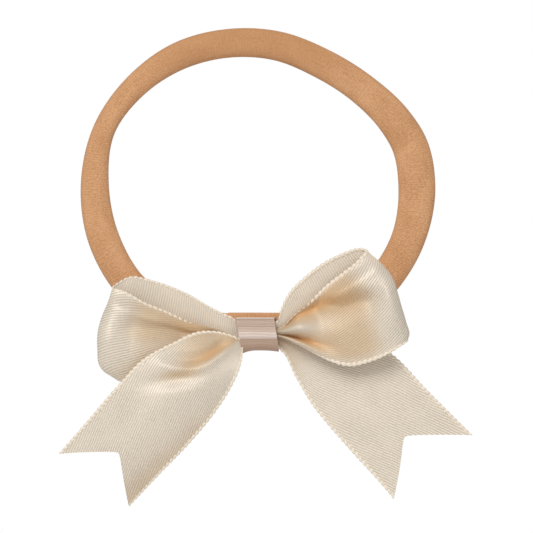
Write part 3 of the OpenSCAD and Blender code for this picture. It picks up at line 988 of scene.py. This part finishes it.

# %% [markdown]
# ## The narrow wrap
#
# One turn of narrow ribbon hides the pleats. Pulled tight, it shows an upper and a lower facet
# with a bright ridge between, it sits slightly askew, and its ends lap at the back. A bevelled
# ring would be too perfect, so we draw the turn as a line seen from the side, from end to end, and
# let the ribbon's two edges wander. Its third number paints shade on the facets, most on the lower
# one, and leaves the ridge light as a painted highlight.

# %% Wrap
wrap_box = node_box("centre_wrap")
WRAP_THICK = 0.4
WRAP_AROUND = 26.0  # mm once round
WRAP_HALF = 4.8
WRAP_PROFILE = [(-3.1, -36.2), (-2.9, -34.6), (-3.1, -33.4), (-4.4, -32.9), (-6.6, -32.9),
                (-8.4, -33.1), (-9.1, -33.9), (-9.25, -35.2), (-9.6, -36.6), (-9.6, -37.2),
                (-9.3, -38.3), (-9.15, -39.5), (-8.4, -40.3), (-6.6, -40.55), (-4.4, -40.6),
                (-3.0, -40.2), (-2.65, -38.9), (-2.65, -37.0), (-2.65, -35.0)]
profile = smooth_line(WRAP_PROFILE, 180)
height = (profile[:, 1] - wrap_box[0][2]) / (wrap_box[1][2] - wrap_box[0][2])
front = eased(profile[:, 0], (-8, 1), (-4, 0))
left_edge = -WRAP_HALF + front * (-0.65 * height + 0.95 * (1 - height))
right_edge = WRAP_HALF + front * (-0.6 * height + 0.55 * (1 - height))
v = np.linspace(0, 1, 40)
x = left_edge[:, None] + (right_edge - left_edge)[:, None] * v[None]
foot = eased(profile[:, 1], (-40.4, 1), (-38.5, 0))[:, None] * front[:, None]
sag = foot * (np.abs(2 * v - 1) ** 2)[None] * (0.9 - 0.5 * v)[None]
surface = np.stack([x, np.broadcast_to(profile[:, :1], x.shape), profile[:, 1:] - sag], axis=-1)
around = np.linspace(0, WRAP_AROUND, len(profile))
# painted shade: lower facet darkest, upper facet less, ridge lightest as a painted highlight
shade = eased(profile[:, 1], (-40.4, 0.9), (-38.0, 0.75), (-37.5, 0.2), (-36.8, 0.15),
              (-35.8, 0.5), (-33.5, 0.6))
skin = sheet_skin(surface, np.broadcast_to(around[:, None], x.shape),
                  np.broadcast_to(v[None] * NARROW - NARROW / 2, x.shape),
                  np.broadcast_to(shade[:, None], x.shape), WRAP_THICK)
wrap = skin.build("narrow_wrap", narrow_satin)
print("wrap points:", len(wrap.data.vertices))

# %% [markdown]
# ## The nylon band
#
# The band is one soft knitted tube that lies half flat. Its two ends are lapped and sewn behind
# the bow. A curve with a bevel could draw such a tube, but this one changes as it goes: it is
# narrower on the left, it creases on itself in the upper right, and each end is pressed thin in
# the lap. So we lay rings along its path ourselves.
#
# The route is places round the loop, in shares of half its width and height, each with the band's
# width there as a share of the full width. The path adds the lap at both ends.

# %% The band's path
BAND_ROUTE = [
    (0.49, -0.92, 0.96), (0.72, -0.73, 0.92), (0.93, -0.38, 0.94), (0.99, 0.02, 1.03),
    (0.945, 0.29, 1.00), (0.845, 0.47, 0.95), (0.66, 0.67, 0.88), (0.40, 0.855, 0.85),
    (0.13, 0.975, 0.82), (-0.18, 0.995, 0.80), (-0.48, 0.91, 0.78), (-0.75, 0.705, 0.68),
    (-0.95, 0.40, 0.62), (-1.01, 0.02, 0.78), (-0.955, -0.36, 0.88), (-0.77, -0.71, 0.88),
    (-0.50, -0.915, 0.94)]
LOOP_W, LOOP_H, BAND_W, BAND_T = 80.5, 72.0, 9.0, 4.0
KNOT_Z = joints["bow_turn"]["pos_m"][2] / MM
JOIN_X = 9.3  # half the join's length
LAP = 7.3  # how far each end runs past the middle


def straight(*places):
    """Points of the path in the join, at these x."""
    return [(x, KNOT_Z, BAND_W) for x in places]


route = [(a * LOOP_W / 2, b * LOOP_H / 2, c * BAND_W) for a, b, c in BAND_ROUTE]
path = smooth_line(straight(-LAP, 0, JOIN_X) + route + straight(-JOIN_X, 0, LAP), 900)
middle, width = path[:, :2], path[:, 2]
along_band = np.concatenate([[0], np.cumsum(np.linalg.norm(np.diff(middle, axis=0), axis=1))])
print("band length, mm:", round(along_band[-1], 1))

# %% [markdown]
# ### The band's rings
#
# A ring is an oval with rather full shoulders, because the tube is soft and nearly empty. In the
# crease the front sinks in along one line. The band's third number for each point is painted
# shadow: inside the crease, and painted shade over the crown, the top of the loop.

# %% Band rings
SIDES = 56
BAND_AROUND = 22.0  # mm round the tube, so it is half as wide when pressed flat
CREASE_DEEP = 0.6
CREASE_OFF = 0.9  # how far inside the band's middle the crease runs
LAP_THICK = 1.9
LAP_FORWARD = 1.0  # one end lies behind the other by twice this
LAP_X, OPEN_X = 8.5, 15.0  # the band is thin up to the first and full from the second
in_lap = eased(np.abs(middle[:, 0]), (LAP_X, 1), (OPEN_X, 0)) * (middle[:, 1] < KNOT_Z + 6)
thick = BAND_T - (BAND_T - LAP_THICK) * in_lap
half_way = len(middle) // 2
deep = np.where(np.arange(len(middle)) < half_way, LAP_FORWARD, -LAP_FORWARD) * in_lap


def crease(place):
    """Where the soft tube folds on itself a little: 1 in the upper right of the loop."""
    return eased(place[:, 1], (8.5, 0), (11, 1), (16, 1), (20, 0)) * (place[:, 0] > 0)


def band_piece(name, first, last):
    """The stretch of the band between two rows of the path, closed at both ends."""
    rows = np.arange(first, last + 1)
    place, along = middle[rows], along_band[rows]
    go = unit(np.gradient(middle, axis=0))[rows]
    out_x, out_z = go[:, 1:], -go[:, :1]
    angle = np.linspace(0, 2 * math.pi, SIDES, endpoint=False)
    ca, sa = np.cos(angle), np.sin(angle)
    inward = (np.sign(ca) * np.abs(ca) ** 0.85)[None] * width[rows][:, None] / 2
    fat = (np.sign(sa) * np.abs(sa) ** 0.8)[None]
    creased, front = crease(place)[:, None], fat < 0
    fold = creased * np.exp(-((inward + CREASE_OFF) / 0.7) ** 2)
    x, z = place[:, :1] + out_x * inward, place[:, 1:] + out_z * inward
    y = deep[rows][:, None] + fat * thick[rows][:, None] / 2 + fold * front * CREASE_DEEP
    inner = eased(inward, (-1.8, 1), (0.2, 0)) * front
    # painted shade over the top of the loop
    painted_top_shade = eased(place[:, 1:], (22, 0), (35, 1))
    shadow = 0.45 * creased * inner + 0.7 * painted_top_shade
    around = np.linspace(0, BAND_AROUND, SIDES, endpoint=False)
    cloth = np.stack(np.broadcast_arrays(along[:, None], around[None], shadow), -1)
    skin = Skin()
    numbers = skin.grid(np.stack([x, y, z], axis=-1), cloth, closed=True)
    skin.cap(numbers[0])
    skin.cap(numbers[-1], flip=True)
    return skin.build(name, band_nylon)


print("thinnest and thickest, mm:", round(thick.min(), 2), round(thick.max(), 2))

# %% [markdown]
# ### Three stretches
#
# The bow turns with the join, and the band twists on both sides of it. One mesh could be bent by
# an armature, but plain cuts are easier to follow: the long stretch stays with the band, and each
# end runs from the band into the join behind the bow. They meet on the same ring, so no gap shows.

# %% Band pieces
SEAM_X = 27.0
right_seam = int(np.argmax(middle[:, 0] > SEAM_X)) + 1
left_seam = len(middle) - 1 - int(np.argmax(middle[::-1, 0] < -SEAM_X))
main_band = band_piece("band_main", right_seam, left_seam)
right_end = band_piece("band_right_end", 0, right_seam)
left_end = band_piece("band_left_end", left_seam, len(middle) - 1)

# %% [markdown]
# ## Small pieces from the frame
#
# Stitches, binding thread and glue have their true shape in the CAD model already, and copying
# them would gain nothing. They only need their finishes.

# %% Small pieces
SMALL = {"join_stitches": white_thread, "binding_thread": white_thread,
         "glue_pad": clear_glue, "wrap_glue": clear_glue}
for node, finish in SMALL.items():
    materials = frame["nodes"][node].data.materials
    materials.clear()
    materials.append(finish)
print("finished as they are:", ", ".join(SMALL))

# %% [markdown]
# ## What moves with what
#
# Pieces that ride on one body simply follow it. The tails and the two ends of the band keep their
# place and ride on no body.

# %% The loops and the tails
BEND = 4.0  # a distance each side of a tail's hinge, mm
for piece, node in ((right_loop, "right_loop"), (left_loop, "left_loop")):
    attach(piece, "bow")
    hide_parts(node)
for piece, tail, place, away in ((left_tail, "left_tail", left_hinge, left_away),
                                 (right_tail, "right_tail", right_hinge, right_away)):
    tuple((place - away * BEND) * MM)
    tuple((place + away * BEND) * MM)
    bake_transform(piece)
    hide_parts(tail, tail + "_root")
print("wide ribbon in the loops and tails, mm:",
      RIGHT_LOOP_CLOTH + LEFT_LOOP_CLOTH + 2 * TAIL_CLOTH)

# %% [markdown]
# ### The middle
#
# The passes of pleats and the wrap ride on the bow. A pass of pleats is shorter than the shortest
# sheet that can be declared.

# %% The pleats and the wrap
for piece in passes:
    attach(piece, "bow")
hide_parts("gather")
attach(wrap, "bow")
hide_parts("centre_wrap")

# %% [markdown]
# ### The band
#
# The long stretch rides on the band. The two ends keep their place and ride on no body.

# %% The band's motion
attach(main_band, "band")
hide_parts("band_loop")
for piece, side in ((right_end, 1), (left_end, -1)):
    KNOT_Z * MM
    KNOT_Z * MM
    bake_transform(piece)
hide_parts("band_join")

# %% [markdown] ## The end
# Cloth may stand a little outside the CAD pieces that it stands for, but not much.
